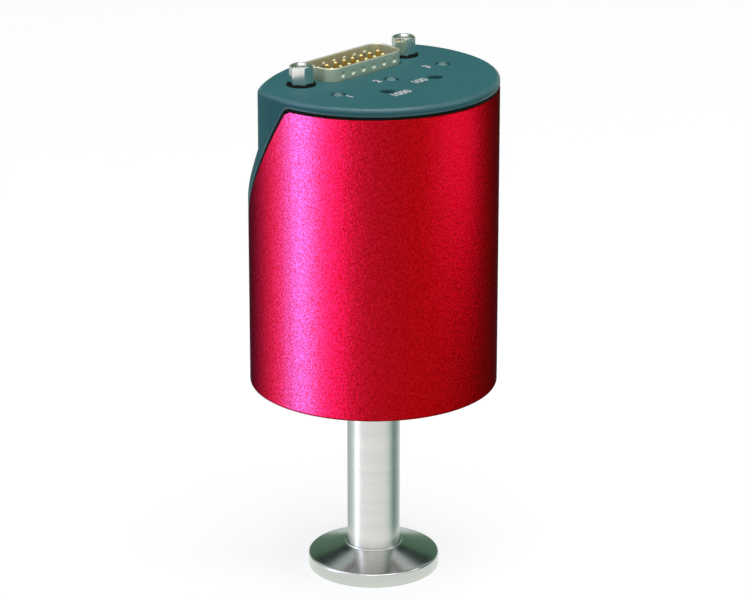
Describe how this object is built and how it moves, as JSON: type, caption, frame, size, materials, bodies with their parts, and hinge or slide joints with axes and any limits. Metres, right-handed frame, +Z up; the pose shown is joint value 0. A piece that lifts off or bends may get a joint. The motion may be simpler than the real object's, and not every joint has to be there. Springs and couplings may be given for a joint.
{
  "type": "pirani vacuum gauge",
  "caption": "Heat-loss vacuum gauge: steel measuring tube on a small clamp flange, under a round red metal electronics housing with a slanted cap and a multi-pin plug on top.",
  "frame": {"origin": "centre of the clamp flange's sealing face", "axes": "+Z up the measuring tube towards the plug, X along the plug's long side, +Y towards the cap's flattened back"},
  "size_m": [0.056, 0.056, 0.1214],
  "materials": {
    "turned_steel": "turned stainless steel",
    "tube_steel": "satin drawn stainless steel",
    "red_anodised": "bead-blasted, red anodised",
    "cap_plastic": "finely textured moulding",
    "gasket_rubber": "matt black",
    "base_aluminium": "turned",
    "plated_steel": "tin plated sheet",
    "nickel_posts": "nickel plated",
    "fastener_steel": "zinc plated",
    "gold_contact": "gold plated",
    "insert_brass": "plain",
    "dark_plastic": "glass filled moulding",
    "key_plastic": "smooth moulding",
    "board_laminate": "lacquered glass laminate",
    "lamp_lens": "clear tinted lens",
    "seal_glass": "fused glass",
    "filament_wire": "drawn wire"
  },
  "bodies": {
    "housing": {"kf_flange": "turned_steel", "measuring_tube": "tube_steel", "tube_collar": "turned_steel", "tube_nut": "fastener_steel", "header_disc": "turned_steel", "glass_seals": "seal_glass", "feedthrough_pins": "gold_contact", "filament": "filament_wire", "base_plate": "base_aluminium", "base_screws": "fastener_steel", "tie_rods": "fastener_steel", "boss_inserts": "insert_brass", "sleeve": "red_anodised", "sleeve_gasket": "gasket_rubber", "cap": "cap_plastic", "connector_board": "board_laminate", "main_board": "board_laminate", "sensor_socket": "dark_plastic", "link_strip": "dark_plastic", "link_pins_row": "gold_contact", "microcontroller": "dark_plastic", "amplifier": "dark_plastic", "regulator": "dark_plastic", "smoothing_capacitor": "dark_plastic", "choke": "dark_plastic", "plug_shell": "plated_steel", "plug_rear_shell": "plated_steel", "plug_insulator": "dark_plastic", "plug_pins": "gold_contact", "jackscrews": "nickel_posts", "jackscrew_nuts": "fastener_steel", "lamp_left": "lamp_lens", "lamp_centre": "lamp_lens", "lamp_right": "lamp_lens", "lamp_legs_set": "fastener_steel", "key_switch_left": "dark_plastic", "key_switch_right": "dark_plastic"},
    "left_key": {"adjust_key_left": "key_plastic"},
    "right_key": {"adjust_key_right": "key_plastic"}
  },
  "joints": [
    {"name": "left_key_press", "type": "slide", "parent": "housing", "child": "left_key", "axis": [0, 0, -1], "range_m": [0, 0.00025], "stiffness_N_per_m": 6400},
    {"name": "right_key_press", "type": "slide", "parent": "housing", "child": "right_key", "axis": [0, 0, -1], "range_m": [0, 0.00025], "stiffness_N_per_m": 6400}
  ]
}
